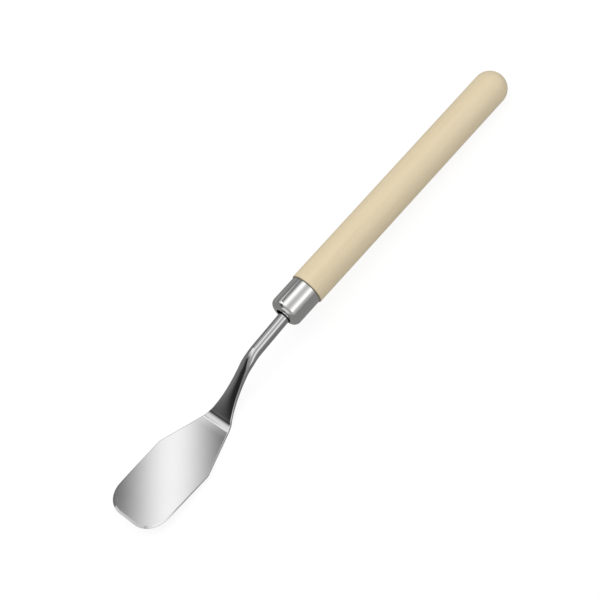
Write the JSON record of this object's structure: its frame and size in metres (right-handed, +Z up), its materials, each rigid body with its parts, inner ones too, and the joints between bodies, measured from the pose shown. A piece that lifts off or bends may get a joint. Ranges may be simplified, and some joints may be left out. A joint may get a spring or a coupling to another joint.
{
  "type": "palette knife",
  "caption": "Cranked painting knife with a flared spatula blade, forged round shank, plated ferrule and plain round wooden handle, for mixing, spreading and scraping paint.",
  "frame": {"origin": "centre of the footprint, on the surface that the knife lies on: it rests on the heel of its blade and on the tail of its handle", "axes": "+X towards the tail of the handle, the blade points to -X; +Y across the blade; +Z up, away from the surface; the knife is symmetric about the XZ plane"},
  "size_m": [0.2079, 0.0248, 0.0182],
  "materials": {
    "blade_steel": "polished spring steel with fine grinding lines along the blade",
    "ferrule_plating": "satin-bright nickel plating on a drawn brass cup",
    "handle_wood": "pale close-grained hardwood under a thin satin lacquer",
    "tang_cement": "cured resin cement"
  },
  "bodies": {
    "root": {"blade_and_tang": "blade_steel", "ferrule": "ferrule_plating", "handle": "handle_wood", "tang_cement": "tang_cement"}
  },
  "joints": []
}
